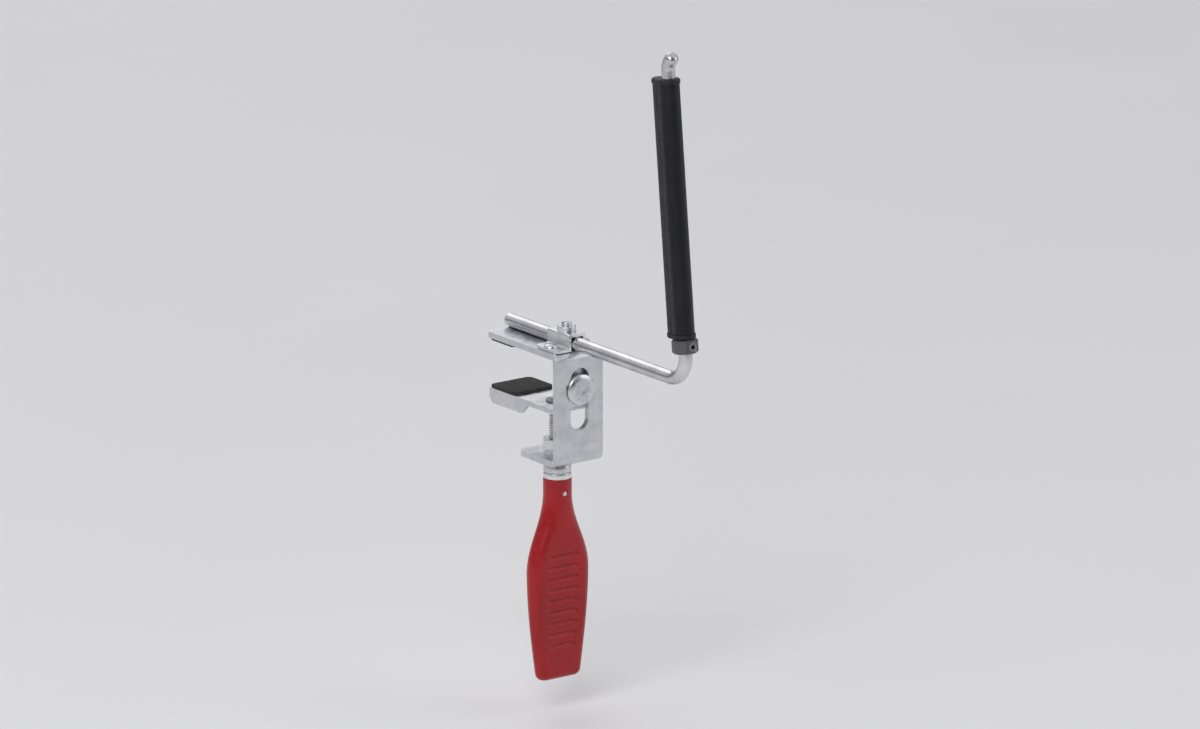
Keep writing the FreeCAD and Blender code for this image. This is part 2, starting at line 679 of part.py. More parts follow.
def make_rod_saddle():
    body = new_body("rod_saddle")
    front = new_sketch(body, "saddle_front", "XZ", "-(%s)" % SADDLE_OUT)
    inner = "(rod_dia / 2 + saddle_play)"
    outer = "(%s + saddle_thick)" % inner
    foot = "(saddle_foot_width / 2)"
    foot_top = "(%s + saddle_thick)" % PLATE_TOP
    draw_polygon(front, [
        ("-" + foot, PLATE_TOP), ("-" + inner, PLATE_TOP), ("-" + inner, CROWN_LOW), (inner, CROWN_LOW),
        (inner, PLATE_TOP), (foot, PLATE_TOP), (foot, foot_top), (outer, foot_top), (outer, CROWN_TOP),
        ("-" + outer, CROWN_TOP), ("-" + outer, foot_top), ("-" + foot, foot_top),
    ])
    strap = add_pad(body, "saddle_strap", front, "saddle_long", backwards=True)

    def is_bend(edge):
        middle = edge.CenterOfMass
        beside = near(abs(middle.x), outer)
        return is_straight(edge, Vector(0, 1, 0)) and beside
    strap = add_fillet(body, "saddle_bends", strap, "saddle_bend", is_bend)

    def is_corner(edge):
        return is_straight(edge, Vector(0, 0, 1)) and near(abs(edge.CenterOfMass.x), foot)
    add_fillet(body, "saddle_corners", strap, "plate_corner", is_corner)
    holes = new_sketch(body, "saddle_holes", "XY", PLATE_TOP)
    draw_circle(holes, "-rivet_spread / 2", SADDLE_MID, "rivet_dia")
    draw_circle(holes, "rivet_spread / 2", SADDLE_MID, "rivet_dia")
    draw_circle(holes, "0", SADDLE_MID, "lock_dia + running_gap * 2")
    add_cut(body, "saddle_holes_cut", holes, "rod_dia * 4", symmetric=True)
    return body


# Rivets: a domed head on the saddle's foot, a shank and a formed head under the plate

def make_saddle_rivets():
    parts = []
    for number, sign in enumerate(("-", "")):
        base = "(%s + saddle_thick)" % PLATE_TOP
        shank = doc.addObject("Part::Cylinder", "rivet_shank_%d" % number)
        shank.setExpression("Radius", bound("rivet_dia / 2"))
        shank.setExpression("Height", bound("plate_thick + saddle_thick"))
        shank.setExpression("Placement.Base.z", bound(PLATE_LOW))
        head = doc.addObject("Part::Cone", "rivet_head_%d" % number)
        head.setExpression("Radius1", bound("rivet_head / 2"))
        head.setExpression("Radius2", bound("rivet_head / 4"))
        head.setExpression("Height", bound("rivet_head_high"))
        head.setExpression("Placement.Base.z", bound(base))
        foot = doc.addObject("Part::Cone", "rivet_foot_%d" % number)
        foot.setExpression("Radius1", bound("rivet_head / 4"))
        foot.setExpression("Radius2", bound("rivet_head / 2"))
        foot.setExpression("Height", bound("rivet_head_high / 2"))
        foot.setExpression("Placement.Base.z", bound("%s - rivet_head_high / 2" % PLATE_LOW))
        for piece in (shank, head, foot):
            piece.setExpression("Placement.Base.x", bound("%srivet_spread / 2" % sign))
            piece.setExpression("Placement.Base.y", bound(SADDLE_MID))
        whole = doc.addObject("Part::MultiFuse", "rivet_%d" % number)
        whole.Shapes = [shank, head, foot]
        parts.append(whole)
    group = doc.addObject("Part::Compound", "saddle_rivets")
    group.Label = "saddle_rivets"
    group.Links = parts
    doc.recompute()
    return group


def make_lock_nut():
    body, ring = make_ring("lock_nut", CROWN_TOP, "lock_nut_high", "lock_nut_dia",
                           "lock_dia + running_gap * 2", SADDLE_MID)
    rim = lambda edge: near(edge.CenterOfMass.z, "%s + lock_nut_high" % CROWN_TOP) \
        and edge.Length > value("lock_dia") * 4
    add_chamfer(body, "lock_nut_rim", ring, "saddle_thick / 3", rim)
    return body


def make_plug(name, low, length, diameter, chamfer):
    """A short round plug about the lock screw's axis."""
    body = new_body(name)
    flat = new_sketch(body, name + "_flat", "XY", low)
    draw_circle(flat, "0", SADDLE_MID, diameter)
    plug = add_pad(body, name + "_plug", flat, length)
    add_chamfer(body, name + "_ends", plug, chamfer,
                lambda edge: near(edge.CenterOfMass.x, "0") and not is_straight(edge, Vector(0, 0, 1)))
    return body


def make_lock_slug():
    return make_plug("lock_slug", SLUG_LOW, "lock_slug_long", "lock_dia", "lock_dia / 12")


def make_lock_screw():
    body = make_plug("lock_screw", SCREW_LOW, "lock_screw_long", "lock_dia", "lock_dia / 12")
    slot = new_sketch(body, "lock_screw_slot", "XY", "%s + lock_screw_long" % SCREW_LOW)
    draw_box(slot, "-lock_dia", "lock_dia", "%s - lock_dia / 12" % SADDLE_MID, "%s + lock_dia / 12" % SADDLE_MID)
    add_cut(body, "lock_screw_slot_cut", slot, "lock_dia / 2", symmetric=True)
    return body


# Post: an extruded profile of two lobes, the outboard one round the rod and the inboard one with the net's
# groove and its mouth, and a flute where the lobes meet on each side. Drawn along Z about the rod's axis.

def draw_lobes(sketch, grow="0"):
    """The tangent outline round both lobes, made larger by the given amount."""
    big = value("post_rod_lobe / 2 + %s" % grow)
    small = value("post_net_lobe / 2 + %s" % grow)
    pitch = value("post_lobe_pitch")
    tilt = math.acos((big - small) / pitch)
    up = Vector(0, 0, 1)
    far = Vector(0, pitch, 0)
    quarter = math.pi / 2
    outer = Part.ArcOfCircle(Part.Circle(Vector(0, 0, 0), up, big), quarter + tilt, quarter - tilt + 2 * math.pi)
    inner = Part.ArcOfCircle(Part.Circle(far, up, small), quarter - tilt, quarter + tilt)
    arcs = [sketch.addGeometry(outer, False), sketch.addGeometry(inner, False)]

    def on(centre, radius, angle):
        return centre + Vector(math.cos(angle), math.sin(angle), 0) * radius
    right = Part.LineSegment(on(Vector(), big, quarter - tilt), on(far, small, quarter - tilt))
    left = Part.LineSegment(on(far, small, quarter + tilt), on(Vector(), big, quarter + tilt))
    sides = [sketch.addGeometry(right, False), sketch.addGeometry(left, False)]
    sketch.addConstraint(Sketcher.Constraint("Tangent", arcs[0], 2, sides[0], 1))
    sketch.addConstraint(Sketcher.Constraint("Tangent", sides[0], 2, arcs[1], 1))
    sketch.addConstraint(Sketcher.Constraint("Tangent", arcs[1], 2, sides[1], 1))
    sketch.addConstraint(Sketcher.Constraint("Tangent", sides[1], 2, arcs[0], 1))
    place_point(sketch, arcs[0], 3, "0", "0")
    place_point(sketch, arcs[1], 3, "0", "post_lobe_pitch")
    tie(sketch, "Radius", (arcs[0],), "post_rod_lobe / 2 + %s" % grow)
    tie(sketch, "Radius", (arcs[1],), "post_net_lobe / 2 + %s" % grow)


def make_net_post():
    body = new_body("net_post")
    plan = new_sketch(body, "post_profile", "XY")
    draw_lobes(plan)
    draw_circle(plan, "0", "0", "post_bore")
    add_pad(body, "post_bar", plan, "post_length")
    groove = new_sketch(body, "post_groove", "XY")
    draw_circle(groove, "0", "post_lobe_pitch", "groove_dia")
    add_cut(body, "post_groove_cut", groove, "post_length * 3", symmetric=True)
    mouth = new_sketch(body, "post_mouth", "XY")
    draw_box(mouth, "-groove_mouth / 2", "groove_mouth / 2", "post_lobe_pitch",
             "post_lobe_pitch + post_net_lobe")
    add_cut(body, "post_mouth_cut", mouth, "post_length * 3", symmetric=True)
    flutes = new_sketch(body, "post_flutes", "XY")
    side = "(post_rod_lobe / 2 + flute_dia * 0.22)"
    for sign in ("-", ""):
        draw_circle(flutes, sign + side, "post_lobe_pitch * 0.62", "flute_dia")
    add_cut(body, "post_flutes_cut", flutes, "post_length * 3", symmetric=True)
    upright_frame(body, POST_AT)
    return body


def make_post_end(name, distance, spigot_up):
    """A moulded end: a plate round both lobes that runs on the rod, with a spigot in the groove."""
    body = new_body(name)
    plan = new_sketch(body, name + "_plan", "XY")
    draw_lobes(plan, "end_lip")
    draw_circle(plan, "0", "0", "rod_dia + running_gap * 2")
    plate = add_pad(body, name + "_plate", plan, "end_thick - running_gap")
    outside = "0" if spigot_up else "end_thick - running_gap"

    def is_rim(edge):
        middle = edge.BoundBox
        flat = near(middle.ZMin, outside) and near(middle.ZMax, outside)
        bore = edge.Length > value("rod_dia") * 3.1 and isinstance(edge.Curve, Part.Circle) \
            and near(edge.Curve.Radius, "rod_dia / 2 + running_gap")
        return flat and not bore
    add_chamfer(body, name + "_rim", plate, "end_thick / 4", is_rim)
    root = new_sketch(body, name + "_spigot", "XY", "end_thick / 2")
    draw_circle(root, "0", "post_lobe_pitch", "groove_dia - spigot_gap * 2")
    add_pad(body, name + "_plug", root, "spigot_long", backwards=not spigot_up)
    upright_frame(body, distance)
    return body


# Collar under the post, with its set screw on the outboard side

def make_post_collar():
    body = new_body("post_collar")
    plan = new_sketch(body, "collar_plan", "XY")
    draw_circle(plan, "0", "0", "collar_dia")
    draw_circle(plan, "0", "0", "rod_dia + running_gap * 2")
    ring = add_pad(body, "collar_ring", plan, "collar_high")
    rim = lambda edge: edge.Length > value("collar_dia") * 3 and isinstance(edge.Curve, Part.Circle)
    add_chamfer(body, "collar_rims", ring, "rod_chamfer", rim)
    tap = new_sketch(body, "collar_tap", "XZ", "rod_dia / 2")
    draw_circle(tap, "0", "collar_high / 2", "collar_screw")
    add_cut(body, "collar_tap_cut", tap, "collar_dia", symmetric=False, backwards=True)
    upright_frame(body, COLLAR_AT)
    return body


def make_collar_screw():
    body = new_body("collar_screw")
    flat = new_sketch(body, "collar_screw_flat", "XZ", "rod_dia / 2 + running_gap")
    draw_circle(flat, "0", "collar_high / 2", "collar_screw - running_gap")
    screw = add_pad(body, "collar_screw_plug", flat, "collar_screw_long")
    socket = new_sketch(body, "collar_screw_socket", "XZ", "rod_dia / 2 + running_gap + collar_screw_long")
    points = []
    for turn in range(0, 360, 60):
        points.append(("collar_screw / 4 * cos(%d)" % turn,
                       "collar_high / 2 + collar_screw / 4 * sin(%d)" % turn))
    draw_polygon(socket, points)
    add_cut(body, "collar_screw_socket_cut", socket, "collar_screw_long / 2")
    upright_frame(body, COLLAR_AT)
    return body


PIECES = [
    make_clamp_frame(),
    make_pad("upper_pad", "0"),
    make_rod_saddle(),
    make_saddle_rivets(),
    make_lock_nut(),
    make_spindle_nut(),
    make_sliding_jaw(),
    make_pad("lower_pad", "-table_thick - pad_thick"),
    make_guide_stud(),
    make_spindle(),
    make_spindle_washer(),
    make_spindle_clip(),
    make_handle(),
    make_handle_collar(),
    make_handle_pin(),
    make_lock_slug(),
    make_lock_screw(),
    make_net_rod(),
    make_post_collar(),
    make_collar_screw(),
    make_net_post(),
    make_post_end("foot_bush", FOOT_AT, True),
    make_post_end("head_cap", "%s + running_gap" % HEAD_AT, False),
]

doc.recompute()
for item in doc.Objects:
    if {"Invalid", "Error"} & set(item.State):
        raise RuntimeError("%s failed: %s" % (item.Name, item.State))
os.makedirs("parts", exist_ok=True)
for piece in PIECES:
    shape = piece.Shape
    if shape.isNull() or not shape.isValid():
        raise RuntimeError(piece.Label + " has no valid shape")
    shape.exportStep("parts/%s.step" % piece.Label)
    box = shape.BoundBox
    print("%-15s %9.1f mm3  x %.2f %.2f  y %.2f %.2f  z %.2f %.2f" % (
        piece.Label, shape.Volume, box.XMin, box.XMax, box.YMin, box.YMax, box.ZMin, box.ZMax))
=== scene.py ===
import math

import bmesh
import bpy
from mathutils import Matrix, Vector

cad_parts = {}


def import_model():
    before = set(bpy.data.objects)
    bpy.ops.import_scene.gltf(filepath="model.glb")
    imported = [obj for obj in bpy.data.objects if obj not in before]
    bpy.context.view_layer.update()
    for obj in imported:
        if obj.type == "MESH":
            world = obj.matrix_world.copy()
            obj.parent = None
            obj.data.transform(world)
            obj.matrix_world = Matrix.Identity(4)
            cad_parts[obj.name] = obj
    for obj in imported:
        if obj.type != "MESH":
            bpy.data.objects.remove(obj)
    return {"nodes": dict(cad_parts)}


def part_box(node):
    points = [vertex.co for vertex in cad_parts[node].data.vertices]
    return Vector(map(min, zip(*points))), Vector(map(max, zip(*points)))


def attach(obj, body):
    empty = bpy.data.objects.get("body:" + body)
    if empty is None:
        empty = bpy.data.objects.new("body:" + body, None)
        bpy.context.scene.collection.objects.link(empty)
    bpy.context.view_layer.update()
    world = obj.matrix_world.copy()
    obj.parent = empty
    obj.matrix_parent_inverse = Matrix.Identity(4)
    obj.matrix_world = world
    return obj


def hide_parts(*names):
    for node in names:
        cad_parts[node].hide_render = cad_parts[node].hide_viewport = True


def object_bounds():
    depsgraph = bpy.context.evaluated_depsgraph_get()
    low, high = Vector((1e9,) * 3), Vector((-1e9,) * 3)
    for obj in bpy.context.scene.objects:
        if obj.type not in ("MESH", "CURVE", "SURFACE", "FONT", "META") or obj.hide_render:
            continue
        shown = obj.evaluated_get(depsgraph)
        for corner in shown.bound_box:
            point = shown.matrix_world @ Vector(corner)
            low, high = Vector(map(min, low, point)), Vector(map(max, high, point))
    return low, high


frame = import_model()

CAD_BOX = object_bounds()
MM = 0.001

# Sizes that the scene repeats from the part, in metres and radians. Round sections have their radius here
RUNNING_GAP = 0.05 * MM
SADDLE_THICK = 1.5 * MM
RIVET_SHANK = 2.0 * MM
RIVET_HEAD = 3.2 * MM
STUD_HEAD_GAP = 0.3 * MM
STUD_JOURNAL = 5.15 * MM
STUD_TENON = 3.0 * MM
JAW_THICK = 2.5 * MM
SPINDLE_PITCH = 1.25 * MM
SPINDLE_NECK = 3.0 * MM
CLIP_SEAT = 2.0 * MM
FERRULE_WALL = 1.1 * MM
FERRULE_HIGH = 7.0 * MM
ROD_OVERHANG = 141.5 * MM
ROD_CHAMFER = 0.8 * MM
ROD_BEND = 12 * MM
ROD_LEAN = math.radians(6)
COLLAR_RISE = 1.2 * MM
COLLAR_HIGH = 6.5 * MM
END_THICK = 2.5 * MM
POST_LENGTH = 117.5 * MM
TIP_ROOM = 3.5 * MM
TIP_BEND = 6.5 * MM
TIP_ANGLE = math.radians(38)
TIP_STRAIGHT = 4.5 * MM

# Edges where faces meet at more than this are rounded, and shaded as edges
EDGE_ANGLE = math.radians(28)

# Sides of a turned piece, and of a larger one
SIDES = 48
MANY_SIDES = 64

# The photograph's viewing direction, seen from the part, and the camera's distance in metres
VIEW_AZIMUTH = math.radians(-36.3)
VIEW_ELEVATION = math.radians(15.4)
VIEW_BACK = Vector((math.sin(VIEW_AZIMUTH) * math.cos(VIEW_ELEVATION),
                    -math.cos(VIEW_AZIMUTH) * math.cos(VIEW_ELEVATION), math.sin(VIEW_ELEVATION)))
VIEW_DISTANCE = 4.974


# Geometry helpers

def cut_away(obj, cutters):
    """Takes the cutters' solids out of the object's mesh."""
    tools = []
    for cutter in cutters:
        bmesh.ops.recalc_face_normals(cutter, faces=cutter.faces)
        mesh = bpy.data.meshes.new("cutter")
        cutter.to_mesh(mesh)
        cutter.free()
        tool = bpy.data.objects.new("cutter", mesh)
        bpy.context.scene.collection.objects.link(tool)
        tools.append(tool)
        step = obj.modifiers.new("cut", "BOOLEAN")
        step.operation = "DIFFERENCE"
        step.solver = "EXACT"
        step.object = tool
    seen = obj.evaluated_get(bpy.context.evaluated_depsgraph_get())
    result = bpy.data.meshes.new_from_object(seen)
    obj.modifiers.clear()
    obj.data = result
    for tool in tools:
        bpy.data.objects.remove(tool, do_unlink=True)


def new_object(name, bm, material, body, replaced=(), smooth=EDGE_ANGLE, cutters=()):
    """Puts a bmesh in the scene as a piece that rides a body and may stand for CAD nodes."""
    bmesh.ops.recalc_face_normals(bm, faces=bm.faces)
    mesh = bpy.data.meshes.new(name)
    bm.to_mesh(mesh)
    bm.free()
    obj = bpy.data.objects.new(name, mesh)
    bpy.context.scene.collection.objects.link(obj)
    if cutters:
        cut_away(obj, cutters)
    for face in obj.data.polygons:
        face.use_smooth = True
    obj.data.set_sharp_from_angle(angle=smooth)
    obj.data.materials.clear()
    obj.data.materials.append(material)
    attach(obj, body)
    if replaced:
        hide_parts(*replaced)
    return obj


def bevel_sharp(bm, width, segments):
    """Rounds every edge where two faces meet at more than the edge angle."""
    edges = [e for e in bm.edges if len(e.link_faces) == 2 and e.calc_face_angle(0) > EDGE_ANGLE]
    bmesh.ops.bevel(bm, geom=edges, offset=width, offset_type="OFFSET", segments=segments, profile=0.6,
                    affect="EDGES", clamp_overlap=True)


def refined(node, width, material, body, segments=2):
    """A copy of a CAD node with its flat faces merged and its edges rounded, standing for that node."""
    bm = bmesh.new()
    bm.from_mesh(frame["nodes"][node].data)
    bmesh.ops.remove_doubles(bm, verts=bm.verts, dist=1e-6)
    bmesh.ops.dissolve_limit(bm, angle_limit=math.radians(0.4), verts=bm.verts, edges=bm.edges)
    bevel_sharp(bm, width, segments)
    piece = new_object(node + "_fine", bm, material, body, (node,))
    weighted = piece.modifiers.new("weighted", "WEIGHTED_NORMAL")
    weighted.keep_sharp = True
    return piece


def rings_to_solid(bm, rings, closed):
    """Joins rings of vertices into a skin. Rings of one vertex are tips."""
    pairs = list(zip(rings, rings[1:]))
    if closed:
        pairs.append((rings[-1], rings[0]))
    for low, high in pairs:
        count = max(len(low), len(high))
        for i in range(count):
            j = (i + 1) % count
            if len(low) == 1:
                bm.faces.new((low[0], high[j], high[i]))
            elif len(high) == 1:
                bm.faces.new((low[i], low[j], high[0]))
            else:
                bm.faces.new((low[i], low[j], high[j], high[i]))


def lathe(profile, centre, axis=Vector((0, 0, 1)), segments=SIDES, closed=False):
    """A turned solid. The profile is a list of (radius, height along the axis)."""
    bm = bmesh.new()
    turn = Vector((0, 0, 1)).rotation_difference(axis).to_matrix()
    rings = []
    for radius, height in profile:
        if radius < 1e-9:
            rings.append([bm.verts.new(centre + turn @ Vector((0, 0, height)))])
            continue
        ring = []
        for i in range(segments):
            angle = 2 * math.pi * i / segments
            spot = Vector((radius * math.cos(angle), radius * math.sin(angle), height))
            ring.append(bm.verts.new(centre + turn @ spot))
        rings.append(ring)
    rings_to_solid(bm, rings, closed)
    return bm


def smooth_step(x):
    """Goes softly from 0 to 1 as x does."""
    x = min(1.0, max(0.0, x))
    return x * x * (3 - 2 * x)


# Materials

class Shader:
    """A procedural material in the making: short calls add nodes and links."""

    def __init__(self, name, metallic, roughness):
        self.material = bpy.data.materials.new(name)
        self.material.use_nodes = True
        self.nodes = self.material.node_tree.nodes
        self.links = self.material.node_tree.links
        self.surface = self.nodes["Principled BSDF"]
        self.surface.inputs["Metallic"].default_value = metallic
        self.surface.inputs["Roughness"].default_value = roughness
        self.place = self.nodes.new("ShaderNodeTexCoord").outputs["Object"]
        self.height = None

    def noise(self, scale, detail, stretch=(1, 1, 1), roughness=0.55):
        """Soft noise in the object's own place, stretched along the axes with small factors."""
        spread = self.nodes.new("ShaderNodeMapping")
        spread.inputs["Scale"].default_value = stretch
        self.links.new(self.place, spread.inputs["Vector"])
        texture = self.nodes.new("ShaderNodeTexNoise")
        texture.inputs["Scale"].default_value = scale
        texture.inputs["Detail"].default_value = detail
        texture.inputs["Roughness"].default_value = roughness
        self.links.new(spread.outputs["Vector"], texture.inputs["Vector"])
        return texture.outputs["Fac"]

    def cells(self, scale):
        """Distance to the nearest of scattered points."""
        texture = self.nodes.new("ShaderNodeTexVoronoi")
        texture.inputs["Scale"].default_value = scale
        self.links.new(self.place, texture.inputs["Vector"])
        return texture.outputs["Distance"]

    def ramp(self, source, stops):
        """Colours or greys along a source, as (place, colour) stops."""
        node = self.nodes.new("ShaderNodeValToRGB")
        marks = node.color_ramp.elements
        while len(marks) < len(stops):
            marks.new(0.5)
        for mark, (spot, colour) in zip(marks, stops):
            mark.position = spot
            mark.color = (*colour, 1) if isinstance(colour, tuple) else (colour, colour, colour, 1)
        self.links.new(source, node.inputs["Fac"])
        return node.outputs["Color"]

    def mix(self, amount, first, second):
        """Blends two colours, each a colour or a source, by an amount from a source."""
        node = self.nodes.new("ShaderNodeMix")
        node.data_type = "RGBA"
        self.links.new(amount, node.inputs["Factor"])
        for socket, source in ((node.inputs[6], first), (node.inputs[7], second)):
            if isinstance(source, tuple):
                socket.default_value = (*source, 1)
            else:
                self.links.new(source, socket)
        return node.outputs[2]

    def edges(self, low, high):
        """White where the surface is convex, as on worn edges."""
        geometry = self.nodes.new("ShaderNodeNewGeometry")
        return self.ramp(geometry.outputs["Pointiness"], [(low, 0.0), (high, 1.0)])

    def bump(self, source, distance, strength):
        """Adds relief on top of any that the material has."""
        node = self.nodes.new("ShaderNodeBump")
        node.inputs["Distance"].default_value = distance
        node.inputs["Strength"].default_value = strength
        self.links.new(source, node.inputs["Height"])
        if self.height is not None:
            self.links.new(self.height, node.inputs["Normal"])
        self.height = node.outputs["Normal"]
        self.links.new(self.height, self.surface.inputs["Normal"])

    def colour(self, source):
        """Sets the base colour."""
        self.links.new(source, self.surface.inputs["Base Color"])

    def rough(self, source):
        """Sets the roughness."""
        self.links.new(source, self.surface.inputs["Roughness"])


def zinc_plate():
    """Bright zinc on pressed strip: bluish clouding, rolling lines, scratches, brighter edges."""
    s = Shader("zinc_plate", 1.0, 0.3)
    clouds = s.ramp(s.noise(130, 5), [(0.32, (0.44, 0.46, 0.51)), (0.52, (0.57, 0.58, 0.62)),
                                      (0.72, (0.66, 0.66, 0.68))])
    warm = s.mix(s.ramp(s.noise(42, 3), [(0.5, 0.0), (0.75, 0.40)]), clouds, (0.63, 0.59, 0.50))
    rolled = s.noise(520, 3, (1, 0.03, 0.03), 0.5)
    lined = s.mix(s.ramp(rolled, [(0.50, 0.0), (0.75, 0.30)]), warm, (0.38, 0.39, 0.43))
    marked = s.mix(s.ramp(s.noise(150, 0, (0.04, 1.0, 0.7)), [(0.70, 0.0), (0.76, 0.30)]), lined,
                   (0.78, 0.78, 0.80))
    s.colour(s.mix(s.edges(0.505, 0.56), marked, (0.80, 0.80, 0.81)))
    s.rough(s.ramp(s.noise(240, 6), [(0.3, 0.24), (0.7, 0.44)]))
    s.bump(s.noise(300, 4), 0.00003, 0.3)
    s.bump(rolled, 0.00001, 0.5)
    return s.material


def zinc_turned():
    """Zinc on turned and cold-formed pieces: tighter clouding, a little brighter on the edges."""
    s = Shader("zinc_turned", 1.0, 0.26)
    clouds = s.ramp(s.noise(420, 4), [(0.35, (0.46, 0.47, 0.52)), (0.65, (0.66, 0.66, 0.68))])
    s.colour(s.mix(s.edges(0.505, 0.56), clouds, (0.80, 0.80, 0.80)))
    s.rough(s.ramp(s.noise(900, 4), [(0.3, 0.20), (0.7, 0.38)]))
    s.bump(s.noise(900, 3), 0.00001, 0.5)
    return s.material


def drawn_rod():
    """Bright plated bar: fine lines along it, cloudier patches, light scuffs."""
    s = Shader("drawn_rod", 1.0, 0.22)
    lines = s.noise(620, 3, (1, 0.02, 0.5), 0.5)
    tone = s.ramp(s.noise(80, 4), [(0.30, (0.54, 0.54, 0.56)), (0.60, (0.70, 0.70, 0.71)),
                                   (0.80, (0.77, 0.76, 0.74))])
    s.colour(s.mix(s.ramp(lines, [(0.45, 0.0), (0.80, 0.40)]), tone, (0.44, 0.44, 0.48)))
    s.rough(s.ramp(s.noise(320, 6), [(0.3, 0.17), (0.72, 0.34)]))
    s.bump(lines, 0.00001, 0.5)
    return s.material


def black_profile():
    """Extruded black plastic: satin, with die lines along the post, dust and rubbed edges."""
    s = Shader("black_profile", 0.0, 0.42)
    lines = s.noise(900, 3, (1.0, 1.0, 0.02), 0.5)
    dust = s.ramp(s.noise(160, 8), [(0.55, 0.0), (0.80, 0.40)])
    base = s.ramp(s.noise(60, 4), [(0.3, (0.006, 0.007, 0.010)), (0.7, (0.013, 0.012, 0.016))])
    dusty = s.mix(dust, base, (0.030, 0.028, 0.030))
    s.colour(s.mix(s.edges(0.55, 0.64), dusty, (0.05, 0.05, 0.055)))
    s.surface.inputs["Specular IOR Level"].default_value = 0.28
    s.rough(s.ramp(s.noise(380, 5), [(0.3, 0.32), (0.7, 0.54)]))
    s.bump(lines, 0.00003, 0.6)
    s.bump(s.noise(2600, 3), 0.00001, 0.4)
    return s.material


def black_moulding():
    """Moulded black plastic of the post's ends: fine spark texture."""
    s = Shader("black_moulding", 0.0, 0.5)
    s.colour(s.mix(s.edges(0.55, 0.64), s.ramp(s.noise(300, 5), [
        (0.3, (0.009, 0.009, 0.010)), (0.7, (0.020, 0.019, 0.020))]), (0.06, 0.06, 0.06)))
    s.surface.inputs["Specular IOR Level"].default_value = 0.35
    s.rough(s.ramp(s.noise(700, 4), [(0.3, 0.40), (0.7, 0.62)]))
    s.bump(s.cells(4200), 0.00003, 0.7)
    return s.material


def black_steel():
    """Blackened steel: brown-blue sheen, bare metal on the edges."""
    s = Shader("black_steel", 0.85, 0.38)
    s.colour(s.mix(s.edges(0.508, 0.56), s.ramp(s.noise(420, 5), [
        (0.3, (0.030, 0.030, 0.036)), (0.7, (0.075, 0.068, 0.066))]), (0.36, 0.36, 0.37)))
    s.rough(s.ramp(s.noise(1500, 4), [(0.3, 0.28), (0.7, 0.50)]))
    s.bump(s.noise(2800, 3), 0.00001, 0.6)
    return s.material


def red_plastic():
    """Moulded red plastic: deep red, faint flow lines, fine orange peel, scuffs on the raised edges."""
    s = Shader("red_plastic", 0.0, 0.33)
    flow = s.ramp(s.noise(55, 5, (1, 1, 0.35)), [
        (0.30, (0.300, 0.002, 0.006)), (0.55, (0.380, 0.004, 0.008)), (0.80, (0.460, 0.009, 0.010))])
    scuffed = s.mix(s.ramp(s.noise(850, 7), [(0.62, 0.0), (0.80, 0.30)]), flow, (0.52, 0.07, 0.06))
    s.colour(s.mix(s.edges(0.515, 0.60), scuffed, (0.56, 0.06, 0.05)))
    s.rough(s.ramp(s.noise(420, 6), [(0.3, 0.24), (0.7, 0.46)]))
    s.bump(s.noise(1100, 3), 0.00003, 0.25)
    s.bump(s.noise(110, 3), 0.00008, 0.25)
    s.surface.inputs["Specular IOR Level"].default_value = 0.4
    s.surface.inputs["Coat Weight"].default_value = 0.08
    s.surface.inputs["Coat Roughness"].default_value = 0.22
    s.surface.inputs["Subsurface Weight"].default_value = 0.06
    s.surface.inputs["Subsurface Radius"].default_value = (0.004, 0.001, 0.0006)
    return s.material


def weld_metal():
    """A plated weld: darker, blotchy, with a heat tint."""
    s = Shader("weld_metal", 1.0, 0.45)
    s.colour(s.ramp(s.noise(700, 5), [(0.30, (0.20, 0.20, 0.24)), (0.50, (0.36, 0.34, 0.33)),
                                      (0.72, (0.50, 0.46, 0.40))]))
    s.rough(s.ramp(s.noise(1200, 4), [(0.3, 0.34), (0.7, 0.60)]))
    s.bump(s.noise(1300, 4), 0.00006, 0.7)
    return s.material


def rubber():
    """Dark grey-black rubber with a fine pebbled face and chalky wear."""
    s = Shader("pad_rubber", 0.0, 0.8)
    chalk = s.ramp(s.noise(260, 7), [(0.5, 0.0), (0.8, 0.5)])
    s.colour(s.mix(chalk, (0.020, 0.020, 0.021), (0.085, 0.082, 0.080)))
    s.rough(s.ramp(s.noise(900, 4), [(0.3, 0.70), (0.7, 0.92)]))
    s.bump(s.cells(1500), 0.00012, 0.8)
    return s.material


def brass():
    """Turned brass with cloudy tarnish."""
    s = Shader("turned_brass", 1.0, 0.3)
    s.colour(s.ramp(s.noise(700, 5), [(0.3, (0.52, 0.36, 0.14)), (0.7, (0.76, 0.58, 0.28))]))
    s.rough(s.ramp(s.noise(1600, 4), [(0.3, 0.22), (0.7, 0.42)]))
    s.bump(s.noise(3000, 3), 0.00001, 0.6)
    return s.material


def floor_paint():
    """Matt, nearly even pale grey."""
    s = Shader("floor", 0.0, 0.7)
    s.colour(s.ramp(s.noise(3, 3), [(0.3, (0.78, 0.78, 0.79)), (0.7, (0.80, 0.80, 0.81))]))
    return s.material


ZINC = zinc_plate()
TURNED = zinc_turned()
ROD = drawn_rod()
PROFILE = black_profile()
MOULDING = black_moulding()
BLACK_STEEL = black_steel()
RED = red_plastic()
RUBBER = rubber()
BRASS = brass()
WELD = weld_metal()


# Pressed steel and rubber

def pressed_steel():
    """The frame, the saddle and the jaw: the solids' forms with rounded edges."""
    refined("clamp_frame", 0.45 * MM, ZINC, "clamp", segments=3)
    refined("rod_saddle", 0.25 * MM, ZINC, "clamp")
    refined("sliding_jaw", 0.35 * MM, ZINC, "jaw", segments=3)


def pads():
    """The rubber faces of both jaws."""
    refined("upper_pad", 0.3 * MM, RUBBER, "clamp")
    refined("lower_pad", 0.3 * MM, RUBBER, "jaw")


# Fasteners

